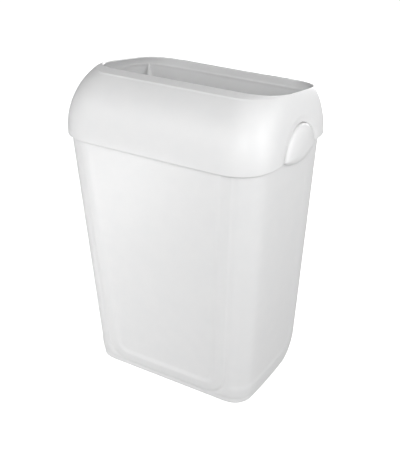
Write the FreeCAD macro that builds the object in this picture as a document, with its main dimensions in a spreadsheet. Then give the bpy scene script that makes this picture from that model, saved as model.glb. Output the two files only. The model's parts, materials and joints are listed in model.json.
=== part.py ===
"""Waste bin with a domed lift-off cover: a tapered plastic bin body, an open-topped cover,
a bag ring hinged inside the body on two pins, a domed cap over each pin, and four rubber feet.

Frame: millimetres, +Z up, front towards -Y, +X to the right, origin on the ground under the middle.
"""
import FreeCAD, Part
import Sketcher
import math
import os

V = FreeCAD.Vector
doc = FreeCAD.newDocument("waste_bin")

# ---------------------------------------------------------------- driving dimensions
SIZES = {
    # common
    "wall": 3.0,                # moulded wall thickness
    "back_face": 142.5,         # rear of the cover, the plane that stands against a wall
    "side_bow_radius": 1480.0,  # the long sides bulge slightly in plan
    # bin body
    "body_base": 2.0,           # underside of the moulding, held up by the feet
    "body_top": 483.5,
    "body_back": 138.5,
    "base_half_width": 168.0,
    "top_half_width": 195.5,
    "base_front": -102.5,
    "top_front": -132.5,
    "base_front_corner": 36.0,
    "top_front_corner": 48.0,
    "body_rear_corner": 36.0,
    "heel_radius": 46.0,        # rounding of the lower rear edge
    "floor_thickness": 3.5,
    # cover
    "cover_base": 478.4,
    "cover_half_width": 205.0,
    "cover_front": -142.5,
    "rim_front": -46.8,         # front of the mouth's rim
    "front_rise": 107.8,        # rim height above the cover's lower edge, at the front
    "rear_rise": 79.0,          # and at the rear
    "side_inset": 23.3,         # how far the dome draws in at each side
    "cover_front_corner": 66.0,
    "cover_rear_corner": 40.0,
    "rim_front_corner": 51.0,
    "rim_rear_corner": 47.0,
    "dome_steps": 6,            # sections of the dome, evenly spaced over a quarter turn
    "mouth_lip": 5.0,           # width of the rolled lip round the mouth
    "rib_thickness": 3.0,
    "rib_depth": 11.0,
    "rib_rise": 47.0,
    "rear_rib_x": 177.0,
    "side_rib_offset": 16.0,    # distance of the side ribs from the caps
    "rest_gap": 0.3,            # clearance between the cover's ribs and the body's rim
    # pivots of the bag ring, and the side caps over them
    "pivot_y": 13.0,
    "pivot_z": 469.0,
    "ear_radius": 50.0,         # upstand of the body's side behind each cap
    "cap_radius": 57.5,
    "cap_gap": 0.8,             # running gap between a cap and the cover's notch
    "cap_lower_radius": 104.0,
    "cap_lowest": 460.0,
    "cap_back": 195.8,
    "cap_crown": 209.5,
    "cap_dome_radius": 132.0,
    "cap_wall": 2.5,
    "peg_radius": 2.5,          # two pegs hold each cap in the body's side
    "peg_offset": 30.0,
    "peg_inner_end": 189.0,
    "pin_radius": 3.0,
    "pin_clearance": 0.05,
    "pin_inner_end": 170.0,
    "pin_head_radius": 6.0,
    "pin_head_thickness": 3.0,
    "bush_radius": 8.0,
    "bush_play": 0.8,
    "clip_radius": 7.0,
    "clip_thickness": 1.0,
    "clip_gap": 0.5,
    # bag ring
    "ring_inset": 6.0,          # gap between the ring and the inside of the body
    "ring_bar": 11.0,
    "ring_bottom": 466.0,
    "ring_thickness": 6.0,
    "ring_lug_length": 24.0,
    "ring_lug_height": 14.0,
    "ledge_depth": 14.0,
    "ledge_width": 30.0,
    "ledge_thickness": 4.0,
    "ledge_spacing": 180.0,
    "tab_depth": 12.0,
    # feet
    "foot_x": 125.0,
    "foot_y": 68.0,
    "foot_radius": 12.0,
    "stem_radius": 4.0,
    "bulb_radius": 5.5,
    "bulb_thickness": 3.0,
    # wall fixing
    "fixing_spacing": 200.0,
    "fixing_height": 430.0,
    "fixing_hole_radius": 2.75,
    "fixing_pad_radius": 10.0,
    "lower_pad_height": 110.0,
}

sheet = doc.addObject("Spreadsheet::Sheet", "sizes")
for row, (alias, number) in enumerate(SIZES.items(), start=1):
    sheet.set(f"A{row}", alias)
    sheet.set(f"B{row}", str(number))
    sheet.setAlias(f"B{row}", alias)
doc.recompute()


def cell(expression):
    """An expression on the sheet's aliases, as FreeCAD writes it: words become sizes.word."""
    words = sorted(SIZES, key=len, reverse=True)
    text = expression
    for number, word in enumerate(words):
        text = text.replace(word, f"@{number}@")
    for number, word in enumerate(words):
        text = text.replace(f"@{number}@", f"sizes.{word}")
    return text


def value(expression):
    return float(sheet.evalExpression(cell(expression)))


def bind(thing, **properties):
    """Bind properties to sheet expressions; Position and Axis place the object."""
    for name, expression in properties.items():
        thing.setExpression(name.replace("__", "."), cell(expression))
    return thing


# ---------------------------------------------------------------- helpers
def origin_plane(body, role):
    for feature in body.Origin.OriginFeatures:
        if feature.Role == role:
            return feature
    raise ValueError(role)


def new_body(name):
    return doc.addObject("PartDesign::Body", name)


def bowed_outline(body, name, half_width, front, rear, front_corner, rear_corner, middle):
    """Closed plan outline: straight front and rear, bowed sides, four rounded corners.
    Every argument is an expression; the sketch is fully constrained to them."""
    sketch = body.newObject("Sketcher::SketchObject", name)
    sketch.AttachmentSupport = [(origin_plane(body, "XY_Plane"), "")]
    sketch.MapMode = "FlatFace"
    w, y0, y1 = value(half_width), value(front), value(rear)
    rf, rb, ym = value(front_corner), value(rear_corner), value(middle)
    bow = value("side_bow_radius")
    cx = w - bow
    front_y, rear_y = y0 + rf, y1 - rb
    front_x = cx + math.sqrt((bow - rf) ** 2 - (front_y - ym) ** 2)
    rear_x = cx + math.sqrt((bow - rb) ** 2 - (rear_y - ym) ** 2)
    front_turn = math.atan2(front_y - ym, front_x - cx)
    rear_turn = math.atan2(rear_y - ym, rear_x - cx)
    half, full = math.pi / 2, math.pi

    def arc(x, y, radius, start, end):
        circle = Part.Circle(V(x, y, 0), V(0, 0, 1), radius)
        return sketch.addGeometry(Part.ArcOfCircle(circle, start, end), False)

    front_line = sketch.addGeometry(Part.LineSegment(V(-front_x, y0, 0), V(front_x, y0, 0)), False)
    front_right = arc(front_x, front_y, rf, -half, front_turn)
    right = arc(cx, ym, bow, front_turn, rear_turn)
    rear_right = arc(rear_x, rear_y, rb, rear_turn, half)
    rear_line = sketch.addGeometry(Part.LineSegment(V(rear_x, y1, 0), V(-rear_x, y1, 0)), False)
    rear_left = arc(-rear_x, rear_y, rb, half, full - rear_turn)
    left = arc(-cx, ym, bow, full - rear_turn, full - front_turn)
    front_left = arc(-front_x, front_y, rf, full - front_turn, full + half)
    loop = [front_line, front_right, right, rear_right, rear_line, rear_left, left, front_left]
    for this, following in zip(loop, loop[1:] + loop[:1]):
        sketch.addConstraint(Sketcher.Constraint("Tangent", this, 2, following, 1))
    sketch.addConstraint(Sketcher.Constraint("Horizontal", front_line))
    sketch.addConstraint(Sketcher.Constraint("Horizontal", rear_line))
    sketch.addConstraint(Sketcher.Constraint("Equal", front_right, front_left))
    sketch.addConstraint(Sketcher.Constraint("Equal", rear_right, rear_left))
    sketch.addConstraint(Sketcher.Constraint("Equal", right, left))
    sketch.addConstraint(Sketcher.Constraint("Symmetric", right, 3, left, 3, -2))

    def drive(expression, *parts):
        number = sketch.addConstraint(Sketcher.Constraint(*parts))
        sketch.setExpression(f"Constraints[{number}]", cell(expression))

    drive(front_corner, "Radius", front_right, rf)
    drive(rear_corner, "Radius", rear_right, rb)
    drive("side_bow_radius", "Radius", right, bow)
    drive(f"({half_width}) - side_bow_radius", "DistanceX", -1, 1, right, 3, cx)
    drive(middle, "DistanceY", -1, 1, right, 3, ym)
    drive(front, "DistanceY", -1, 1, front_line, 1, y0)
    drive(rear, "DistanceY", -1, 1, rear_line, 1, y1)
    return sketch


def loft(body, name, sketches, ruled):
    feature = body.newObject("PartDesign::AdditiveLoft", name)
    feature.Profile = sketches[0]
    feature.Sections = sketches[1:]
    feature.Ruled = ruled
    body.Tip = feature
    return feature


def primitive(kind, name, **properties):
    return bind(doc.addObject(kind, name), **properties)


def box(name, x, y, z, length, width, height):
    return primitive("Part::Box", name, Length=length, Width=width, Height=height,
                     Placement__Base__x=x, Placement__Base__y=y, Placement__Base__z=z)


def rod(name, axis, x, y, z, radius, length):
    """Cylinder from a point along +X, +Y or +Z."""
    thing = primitive("Part::Cylinder", name, Radius=radius, Height=length,
                      Placement__Base__x=x, Placement__Base__y=y, Placement__Base__z=z)
    turn = {"X": (V(0, 1, 0), 90), "Y": (V(1, 0, 0), -90), "Z": (V(0, 0, 1), 0)}[axis]
    base = thing.Placement.Base
    thing.Placement = FreeCAD.Placement(base, FreeCAD.Rotation(*turn))
    return thing


def fuse(name, pieces):
    thing = doc.addObject("Part::MultiFuse", name)
    thing.Shapes = pieces
    return thing


def common(name, pieces):
    thing = doc.addObject("Part::MultiCommon", name)
    thing.Shapes = pieces
    return thing


def cut(name, base, tool):
    thing = doc.addObject("Part::Cut", name)
    thing.Base = base
    thing.Tool = tool
    return thing


def mirrored(name, source):
    thing = doc.addObject("Part::Mirroring", name)
    thing.Source = source
    thing.Base = V(0, 0, 0)
    thing.Normal = V(1, 0, 0)
    return thing


def label(thing, name):
    thing.Label = name
    SUBPARTS.append(thing)
    return thing


SUBPARTS = []
SIDES = (("left", -1), ("right", 1))


# ---------------------------------------------------------------- bin body
def taper(at_base, at_top, height):
    """Expression of a body size that runs evenly from the base to the top."""
    return f"({at_base}) + (({at_top}) - ({at_base})) * (({height}) - body_base) / (body_top - body_base)"


def body_outline(body, name, height, inset):
    """The body's plan at a height, drawn in by an inset."""
    half_width = taper("base_half_width", "top_half_width", height)
    front = taper("base_front", "top_front", height)
    corner = taper("base_front_corner", "top_front_corner", height)
    sketch = bowed_outline(body, name, f"{half_width} - ({inset})", f"{front} + ({inset})",
                           f"body_back - ({inset})", f"{corner} - ({inset})",
                           f"body_rear_corner - ({inset})", "(top_front + body_back) / 2")
    bind(sketch, AttachmentOffset__Base__z=height)
    return sketch


def tapered_block(name, low, high, inset):
    """Solid of the body's plan between two heights, with the lower rear edge rounded."""
    body = new_body(name)
    lower = body_outline(body, f"{name}_lower", low, inset)
    upper = body_outline(body, f"{name}_upper", high, inset)
    loft(body, f"{name}_loft", [lower, upper], True)
    heel = body.newObject("Sketcher::SketchObject", f"{name}_heel")
    heel.AttachmentSupport = [(origin_plane(body, "YZ_Plane"), "")]
    heel.MapMode = "FlatFace"
    radius = value(f"heel_radius - ({inset})")
    y, z = value(f"body_back - ({inset})"), value(low)
    reach = value("heel_radius") / 2
    corner = [V(y - radius, z, 0), V(y - radius, z - reach, 0), V(y + reach, z - reach, 0),
              V(y + reach, z + radius, 0), V(y, z + radius, 0)]
    lines = [heel.addGeometry(Part.LineSegment(a, b), False) for a, b in zip(corner, corner[1:])]
    circle = Part.Circle(V(y - radius, z + radius, 0), V(0, 0, 1), radius)
    bend = heel.addGeometry(Part.ArcOfCircle(circle, -math.pi / 2, 0), False)
    for this, following in zip(lines, lines[1:]):
        heel.addConstraint(Sketcher.Constraint("Coincident", this, 2, following, 1))
    heel.addConstraint(Sketcher.Constraint("Coincident", lines[0], 1, bend, 1))
    heel.addConstraint(Sketcher.Constraint("Coincident", lines[-1], 2, bend, 2))
    for line, way in zip(lines, ("Vertical", "Horizontal", "Vertical", "Horizontal")):
        heel.addConstraint(Sketcher.Constraint(way, line))

    def drive(expression, *parts):
        number = heel.addConstraint(Sketcher.Constraint(*parts))
        heel.setExpression(f"Constraints[{number}]", cell(expression))

    drive(f"heel_radius - ({inset})", "Radius", bend, radius)
    drive("body_back - heel_radius", "DistanceX", -1, 1, bend, 3, y - radius)
    drive(f"({low}) + heel_radius - ({inset})", "DistanceY", -1, 1, bend, 3, z + radius)
    drive("heel_radius / 2", "DistanceY", lines[0], 2, lines[0], 1, reach)
    drive("heel_radius / 2", "DistanceX", lines[-1], 2, lines[-1], 1, reach)
    doc.recompute()
    before = body.Shape.Volume
    pocket = body.newObject("PartDesign::Pocket", f"{name}_heel_cut")
    pocket.Profile = heel
    pocket.Type = "Length"
    pocket.Midplane = True
    bind(pocket, Length="4 * top_half_width")
    body.Tip = pocket
    doc.recompute()
    if body.Shape.Volume >= before:
        raise RuntimeError(f"{name}: the heel cut removed nothing")
    return body


def make_bin_body():
    outer = tapered_block("body_outer", "body_base", "body_top", "0")
    cavity = tapered_block("body_cavity", "body_base + floor_thickness", "body_top + wall", "wall")
    shell = cut("body_shell", outer, cavity)
    additions = [shell]
    # upstand behind each side cap, which carries the ring's pivot
    ear = rod("ear_disc", "X", "top_half_width - wall", "pivot_y", "pivot_z", "ear_radius", "wall")
    above = box("ear_above", "top_half_width - 2 * wall", "pivot_y - ear_radius", "body_top - wall",
                "3 * wall", "2 * ear_radius", "2 * ear_radius")
    right_ear = common("right_ear", [ear, above])
    additions += [right_ear, mirrored("left_ear", right_ear)]
    # ledges inside the front wall, which the bag ring rests on
    for side, sign in SIDES:
        block = box(f"{side}_ledge_block", f"{sign} * ledge_spacing / 2 - ledge_width / 2", "top_front",
                    "ring_bottom - rest_gap - ledge_thickness", "ledge_width", "wall + ledge_depth",
                    "ledge_thickness")
        additions.append(common(f"{side}_ledge", [block, outer]))
    # pads on the back, level with the cover's back
    for row_name, height in (("upper", "fixing_height"), ("lower", "lower_pad_height")):
        for side, sign in SIDES:
            additions.append(rod(f"{row_name}_{side}_pad", "Y", f"{sign} * fixing_spacing / 2",
                                 "body_back - wall / 2", height, "fixing_pad_radius",
                                 "back_face - body_back + wall / 2"))
    solid = fuse("body_solid", additions)
    # holes: two wall fixings, two ring pivots, four foot stems
    holes = []
    for side, sign in SIDES:
        holes.append(rod(f"{side}_fixing_hole", "Y", f"{sign} * fixing_spacing / 2", "body_back - 2 * wall",
                         "fixing_height", "fixing_hole_radius", "back_face - body_back + 3 * wall"))
    holes.append(rod("pivot_hole", "X", "-top_half_width - wall", "pivot_y", "pivot_z",
                     "pin_radius + pin_clearance", "2 * (top_half_width + wall)"))
    for end, way in (("front", -1), ("rear", 1)):
        holes.append(rod(f"{end}_peg_hole", "X", "-top_half_width - wall", f"pivot_y + {way} * peg_offset",
                         "pivot_z", "peg_radius + pin_clearance", "2 * (top_half_width + wall)"))
        for side, sign in SIDES:
            holes.append(rod(f"{end}_{side}_stem_hole", "Z", f"{sign} * foot_x", f"{way} * foot_y", "0",
                             "stem_radius + pin_clearance", "body_base + 2 * floor_thickness"))
    return label(cut("body_part", solid, fuse("body_holes", holes)), "bin_body")


# ---------------------------------------------------------------- cover
def dome_block(name, skin, below):
    """Solid of the cover's dome, drawn in by a skin thickness. Its sections rise by the sine and
    draw in by the cosine of evenly spaced angles, so its profile is a quarter ellipse."""
    body = new_body(name)
    steps = int(value("dome_steps"))
    sketches = []

    def section(number, rise, inset):
        front = f"cover_front + ({skin}) + (rim_front - cover_front - ({skin})) * ({inset})"
        rear = f"back_face - ({skin})"
        front_height = f"(front_rise - ({skin})) * ({rise})"
        rear_height = f"(rear_rise - ({skin})) * ({rise})"
        depth = f"({rear} - ({front}))"
        slope = f"atan(({rear_height} - {front_height}) / {depth})"
        half_width = f"cover_half_width - ({skin}) - (side_inset - ({skin})) * ({inset})"
        front_corner = (f"cover_front_corner - ({skin})"
                        f" + (rim_front_corner - cover_front_corner + ({skin})) * ({rise})")
        rear_corner = f"cover_rear_corner - ({skin}) + (rim_rear_corner - cover_rear_corner) * ({rise})"
        sketch = bowed_outline(body, f"{name}_section_{number}", half_width, "0 * wall",
                               f"{depth} / cos({slope})", front_corner, rear_corner,
                               f"((cover_front + back_face) / 2 - ({front})) / cos({slope})")
        sketch.AttachmentOffset = FreeCAD.Placement(V(0, 0, 0), FreeCAD.Rotation(V(1, 0, 0), 1))
        bind(sketch, AttachmentOffset__Base__y=front,
             AttachmentOffset__Base__z=f"cover_base + {front_height}",
             AttachmentOffset__Rotation__Angle=slope)
        return sketch

    for number in range(steps + 1):
        angle = f"(90 deg * {number} / dome_steps)"
        sketches.append(section(number, f"sin{angle}", f"(1 - cos{angle})"))
    loft(body, f"{name}_loft", sketches, False)
    if below:
        # carry the cavity on below the cover's lower edge
        skirt = body.newObject("PartDesign::Pad", f"{name}_skirt")
        skirt.Profile = sketches[0]
        skirt.Reversed = True
        bind(skirt, Length="wall")
        body.Tip = skirt
    return body


def make_cover():
    outer = dome_block("cover_outer", "0", False)
    cavity = dome_block("cover_cavity", "wall", True)
    # mouth: the rim's outline drawn in by the lip, cut square to the slanted rim
    mouth = new_body("mouth")
    depth = "(back_face - wall - rim_front - mouth_lip)"
    slope = "atan((rear_rise - front_rise) / (back_face - rim_front))"
    sketch = bowed_outline(mouth, "mouth_outline", "cover_half_width - side_inset - mouth_lip", "0 * wall",
                           f"{depth} / cos({slope})", "rim_front_corner - mouth_lip",
                           "rim_rear_corner - mouth_lip",
                           f"((cover_front + back_face) / 2 - rim_front - mouth_lip) / cos({slope})")
    sketch.AttachmentOffset = FreeCAD.Placement(V(0, 0, 0), FreeCAD.Rotation(V(1, 0, 0), 1))
    bind(sketch, AttachmentOffset__Base__y="rim_front + mouth_lip",
         AttachmentOffset__Base__z="cover_base + front_rise", AttachmentOffset__Rotation__Angle=slope)
    pad = mouth.newObject("PartDesign::Pad", "mouth_pad")
    pad.Profile = sketch
    pad.Midplane = True
    bind(pad, Length="10 * wall")
    mouth.Tip = pad
    hollow = fuse("cover_hollow", [cavity, mouth])
    shell = cut("cover_shell", outer, hollow)
    # ribs inside the lower edge, which rest on the body's rim
    plates = []
    low = "body_top + rest_gap"
    for side, sign in SIDES:
        x = f"{sign} * rear_rib_x - rib_thickness / 2"
        plates.append(box(f"rear_{side}_rib", x, "back_face - rib_depth", low, "rib_thickness",
                          "rib_depth", "rib_rise"))
        for number in (1, 2):
            x = f"{sign} * {number} * cover_half_width / 3 - rib_thickness / 2"
            plates.append(box(f"front_{side}_rib_{number}", x, "cover_front", low, "rib_thickness",
                              "rib_depth + 2 * wall", "rib_rise / 2"))
        start = "cover_half_width - rib_depth - wall" if sign > 0 else "-cover_half_width"
        for end, y in (("fore", "pivot_y - cap_radius - side_rib_offset"),
                       ("aft", "pivot_y + cap_radius + side_rib_offset")):
            plates.append(box(f"{end}_{side}_rib", start, f"{y} - rib_thickness / 2", low,
                              "rib_depth + wall", "rib_thickness", "rib_rise / 2"))
    ribs = common("cover_ribs", [fuse("rib_plates", plates), outer])
    ribbed = fuse("cover_ribbed", [shell, ribs])
    # arch notches round the two side caps, open at the bottom
    notch = rod("cap_notch", "X", "-cover_half_width - wall", "pivot_y", "pivot_z", "cap_radius + cap_gap",
                "2 * (cover_half_width + wall)")
    return label(cut("cover_part", ribbed, notch), "cover")


# ---------------------------------------------------------------- bag ring and its pivots
def make_bag_ring():
    height = "ring_bottom"
    ring = new_body("ring")
    outer = body_outline(ring, "ring_outline", height, "wall + ring_inset")
    pad = ring.newObject("PartDesign::Pad", "ring_pad")
    pad.Profile = outer
    bind(pad, Length="ring_thickness")
    ring.Tip = pad
    doc.recompute()
    before = ring.Shape.Volume
    inner = body_outline(ring, "ring_opening", height, "wall + ring_inset + ring_bar")
    pocket = ring.newObject("PartDesign::Pocket", "ring_pocket")
    pocket.Profile = inner
    pocket.Type = "ThroughAll"
    pocket.Midplane = True
    ring.Tip = pocket
    doc.recompute()
    if ring.Shape.Volume >= before:
        raise RuntimeError("the ring's opening removed nothing")
    at_pivot = f"({taper('base_half_width', 'top_half_width', 'pivot_z')} - wall - ring_inset)"
    lug = box("right_ring_lug", f"{at_pivot} - ring_bar", "pivot_y - ring_lug_length / 2",
              "pivot_z - ring_lug_height / 2", "ring_bar", "ring_lug_length", "ring_lug_height")
    front_bar = f"({taper('base_front', 'top_front', height)} + wall + ring_inset)"
    tab = box("ring_finger_tab", "-ledge_width / 2", f"{front_bar} + ring_bar - wall", "ring_bottom",
              "ledge_width", "tab_depth + wall", "ring_thickness / 2")
    solid = fuse("ring_solid", [ring, lug, mirrored("left_ring_lug", lug), tab])
    bore = rod("ring_bore", "X", "-top_half_width", "pivot_y", "pivot_z", "pin_radius + pin_clearance",
               "2 * top_half_width")
    return label(cut("ring_part", solid, bore), "bag_ring")


def both_sides(name, right):
    """Label a right-hand piece and its mirror image as sub-parts."""
    label(right, f"right_{name}")
    label(mirrored(f"left_{name}_mirror", right), f"left_{name}")


def make_pivots():
    wall_inside = f"({taper('base_half_width', 'top_half_width', 'pivot_z')} - wall)"
    shank = rod("pin_shank", "X", "pin_inner_end", "pivot_y", "pivot_z", "pin_radius",
                "top_half_width - pin_inner_end + pin_clearance")
    head = rod("pin_head", "X", "top_half_width + pin_clearance", "pivot_y", "pivot_z", "pin_head_radius",
               "pin_head_thickness")
    both_sides("ring_pin", fuse("pin_solid", [shank, head]))

    bush = rod("bush_disc", "X", f"{wall_inside} - ring_inset + bush_play", "pivot_y", "pivot_z",
               "bush_radius", "ring_inset - 2 * bush_play")
    hole = rod("bush_hole", "X", "pin_inner_end", "pivot_y", "pivot_z", "pin_radius + pin_clearance",
               "top_half_width - pin_inner_end")
    both_sides("ring_bush", cut("bush_solid", bush, hole))

    clip = rod("clip_disc", "X", f"{wall_inside} - ring_inset - ring_bar - clip_thickness - clip_gap",
               "pivot_y", "pivot_z", "clip_radius", "clip_thickness")
    clip_hole = rod("clip_hole", "X", "pin_inner_end - wall", "pivot_y", "pivot_z", "pin_radius",
                    "top_half_width - pin_inner_end")
    both_sides("pin_clip", cut("clip_solid", clip, clip_hole))


def cap_lens(name, skin, back):
    """Half-moon of the cap's outline under its dome, drawn in by a skin thickness."""
    reach = "cap_crown - cap_back + wall"
    upper = rod(f"{name}_upper", "X", back, "pivot_y", "pivot_z", f"cap_radius - ({skin})", reach)
    lower = rod(f"{name}_lower", "X", back, "pivot_y", "cap_lowest + cap_lower_radius",
                f"cap_lower_radius - ({skin})", reach)
    dome = primitive("Part::Sphere", f"{name}_dome", Radius=f"cap_dome_radius - ({skin})",
                     Placement__Base__x="cap_crown - cap_dome_radius", Placement__Base__y="pivot_y",
                     Placement__Base__z="pivot_z + cap_radius / 3")
    return common(name, [upper, lower, dome])


def make_side_caps():
    outer = cap_lens("cap_outer", "0", "cap_back")
    inner = cap_lens("cap_inner", "cap_wall", "cap_back - wall")
    pieces = [cut("cap_shell", outer, inner)]
    for end, way in (("front", -1), ("rear", 1)):
        pieces.append(rod(f"{end}_peg", "X", "peg_inner_end", f"pivot_y + {way} * peg_offset", "pivot_z",
                          "peg_radius", "cap_crown - cap_wall - peg_inner_end - peg_radius"))
    both_sides("side_cap", fuse("cap_solid", pieces))


# ---------------------------------------------------------------- feet
def make_feet():
    for end, way in (("front", -1), ("rear", 1)):
        for side, sign in SIDES:
            name = f"{end}_{side}_foot"
            x, y = f"{sign} * foot_x", f"{way} * foot_y"
            pad = rod(f"{name}_pad", "Z", x, y, "0", "foot_radius", "body_base")
            stem = rod(f"{name}_stem", "Z", x, y, "0", "stem_radius",
                       "body_base + floor_thickness + bulb_thickness")
            bulb = rod(f"{name}_bulb", "Z", x, y, "body_base + floor_thickness + pin_clearance",
                       "bulb_radius", "bulb_thickness - pin_clearance")
            label(fuse(f"{name}_solid", [pad, stem, bulb]), name)


make_bin_body()
make_cover()
make_bag_ring()
make_pivots()
make_side_caps()
make_feet()
doc.recompute()

# ---------------------------------------------------------------- check and write
for thing in doc.Objects:
    if "Invalid" in thing.State or "Error" in thing.State:
        raise RuntimeError(f"{thing.Name} failed: {thing.State}")
for thing in SUBPARTS:
    shape = thing.Shape
    if shape.isNull() or not shape.isValid() or shape.Volume <= 0:
        raise RuntimeError(f"{thing.Label} has no valid shape")

os.makedirs("parts", exist_ok=True)
for thing in SUBPARTS:
    thing.Shape.exportStep(os.path.join("parts", f"{thing.Label}.step"))
    extent = thing.Shape.BoundBox
    print(f"{thing.Label}: {len(thing.Shape.Solids)} solid, {thing.Shape.Volume / 1000:.1f} cm3, "
          f"x {extent.XMin:.1f}..{extent.XMax:.1f} y {extent.YMin:.1f}..{extent.YMax:.1f} "
          f"z {extent.ZMin:.1f}..{extent.ZMax:.1f}")
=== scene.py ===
"""Looks of the waste bin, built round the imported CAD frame: a moulded body, a domed cover with a
rolled mouth lip, domed side caps, and materials for every piece. Lengths are in metres."""
import json
import math
import bmesh
import bpy
import numpy as np
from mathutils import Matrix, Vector


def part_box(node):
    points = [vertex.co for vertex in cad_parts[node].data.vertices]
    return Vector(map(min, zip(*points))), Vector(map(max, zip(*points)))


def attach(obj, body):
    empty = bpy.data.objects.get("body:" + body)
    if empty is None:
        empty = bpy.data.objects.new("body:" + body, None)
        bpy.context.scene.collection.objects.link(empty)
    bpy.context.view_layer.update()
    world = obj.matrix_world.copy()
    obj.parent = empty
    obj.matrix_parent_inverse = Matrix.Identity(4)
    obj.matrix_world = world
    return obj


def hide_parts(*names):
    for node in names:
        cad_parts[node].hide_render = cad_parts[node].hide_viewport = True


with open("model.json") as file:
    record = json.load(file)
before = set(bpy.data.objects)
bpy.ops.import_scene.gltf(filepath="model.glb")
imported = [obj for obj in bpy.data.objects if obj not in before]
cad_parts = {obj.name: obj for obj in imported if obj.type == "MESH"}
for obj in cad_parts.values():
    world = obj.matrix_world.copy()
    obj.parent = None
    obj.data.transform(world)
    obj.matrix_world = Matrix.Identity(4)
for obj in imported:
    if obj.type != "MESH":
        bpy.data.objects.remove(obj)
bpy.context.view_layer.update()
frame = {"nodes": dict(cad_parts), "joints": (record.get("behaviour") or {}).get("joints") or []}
MM = 0.001
SIDES = (("left", -1), ("right", 1))

# ------------------------ sizes read from the frame
BODY_LOW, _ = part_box("bin_body")
COVER_LOW, COVER_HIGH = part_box("cover")
CAP_LOW, CAP_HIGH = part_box("right_side_cap")
JOINTS = {joint["name"]: joint for joint in frame["joints"]}
PIVOT_Y, PIVOT_Z = JOINTS["bag_ring_tilt"]["pos_m"][1:]     # line of the bag ring's pins

# ------------------------ sizes of the body
WALL = 3.0 * MM                 # wall of the body and of the cover
BOW_RADIUS = 1.48               # the left and right sides bulge slightly in plan
BASE_Z = BODY_LOW.z
TOP_Z = 483.5 * MM              # top of the straight wall; the rim's rounding stands above it
BODY_BACK = 138.5 * MM
BASE_HALF = 168.0 * MM          # half width at the base
TOP_HALF = 195.5 * MM           # half width at the rim
BASE_FRONT = -102.5 * MM        # front wall at the base
TOP_FRONT = BODY_LOW.y          # front wall at the rim
BODY_MIDDLE_Y = (TOP_FRONT + BODY_BACK) / 2
BASE_CORNER = 36.0 * MM         # front corners at the base
TOP_CORNER = 48.0 * MM          # front corners at the rim
REAR_CORNER = 36.0 * MM
HEEL = 46.0 * MM                # rounding of the lower rear edge
FLOOR = 3.5 * MM                # thickness of the floor
BASE_EDGE = 2.5 * MM            # rounding round the underside
EAR_RADIUS = 50.0 * MM          # upstand of each side behind its cap
EAR_START = 0.9                 # share of the height at which the rows begin to bend into the ears

LEDGE_SPACING = 180 * MM        # the two ledges inside the front wall
LEDGE_WIDTH = 30 * MM
LEDGE_DEPTH = 14 * MM
LEDGE_THICKNESS = 4 * MM
LEDGE_HEIGHT = 465.7 * MM       # top of the ledges, which the bag ring rests on
LEDGE_ROOT = 2 * MM             # they start this far behind the front wall's outer face
FIXING_SPACING = 200 * MM       # the two wall fixings
FIXING_HEIGHT = 430 * MM
FIXING_RADIUS = 2.75 * MM
PAD_RADIUS = 10 * MM            # pads on the back, level with the cover's back
LOWER_PAD_HEIGHT = 110 * MM
FITTING_EDGE = 1.2 * MM         # rounding of ledges and pads
PAD_SLOPE = 0.3                 # share of that rounding taken by the first of a pad's two slopes
PIN_HOLE = 3.05 * MM            # radii of the holes for ring pins, cap pegs and the feet's stems
PEG_HOLE = 2.55 * MM
STEM_HOLE = 4.05 * MM
PEG_OFFSET = 30 * MM            # the side caps' pegs lie this far in front of and behind the pin

# ------------------------ sizes of the cover and the caps
COVER_BASE = COVER_LOW.z
COVER_HALF = 205.0 * MM
COVER_FRONT = COVER_LOW.y
COVER_BACK = COVER_HIGH.y
COVER_MIDDLE_Y = (COVER_FRONT + COVER_BACK) / 2
RIM_FRONT = -46.8 * MM          # front edge of the mouth
FRONT_RISE = 107.8 * MM         # the mouth's edge above the cover's lower edge, in front
REAR_RISE = 79.0 * MM           # the same at the back
SIDE_INSET = 23.3 * MM          # the mouth's sides lie this far inside the cover's
COVER_FRONT_CORNER = 66.0 * MM  # corners at the lower edge
COVER_REAR_CORNER = 40.0 * MM
RIM_FRONT_CORNER = 51.0 * MM    # corners at the mouth
RIM_REAR_CORNER = 47.0 * MM
CAP_RADIUS = 57.5 * MM          # upper arc of a side cap, round the pin
CAP_LOWER_RADIUS = 104.0 * MM   # its lower arc
CAP_GAP = 0.8 * MM              # between a side cap and the cover


def link(name, data):
    """A new object in the scene, made of a mesh, a camera or a light."""
    thing = bpy.data.objects.new(name, data)
    bpy.context.scene.collection.objects.link(thing)
    return thing


# ------------------------ camera
CAMERA_PLACE = Vector((0.7282, -1.1752, 1.0070))
CAMERA_YAW = 0.5464             # turned to the left of straight ahead
CAMERA_PITCH = 0.4809           # looking down
CAMERA_LENS = 65.6

camera_data = bpy.data.cameras.new("camera")
camera_data.lens = CAMERA_LENS
camera = link("camera", camera_data)
camera.location = CAMERA_PLACE
camera.rotation_euler = (math.pi / 2 - CAMERA_PITCH, 0, CAMERA_YAW)
bpy.context.scene.camera = camera


# ------------------------ mesh helpers
def mesh_object(name, vertices, faces, smooth=True):
    """An object of these vertices and faces, with its normals facing outward."""
    mesh = bpy.data.meshes.new(name)
    mesh.from_pydata([tuple(v) for v in vertices], [], [tuple(f) for f in faces])
    mesh.validate()
    working = bmesh.new()
    working.from_mesh(mesh)
    bmesh.ops.recalc_face_normals(working, faces=working.faces)
    working.to_mesh(mesh)
    working.free()
    if smooth:
        mesh.polygons.foreach_set("use_smooth", [True] * len(mesh.polygons))
    return link(name, mesh)


def grid_faces(rows, columns, close_rows):
    """Quads between the rows of a grid whose columns run in a closed loop. With close_rows the last
    row is joined to the first."""
    faces = []
    for row in range(rows if close_rows else rows - 1):
        following = (row + 1) % rows
        for column in range(columns):
            beside = (column + 1) % columns
            faces.append((row * columns + column, row * columns + beside,
                          following * columns + beside, following * columns + column))
    return faces


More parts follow.
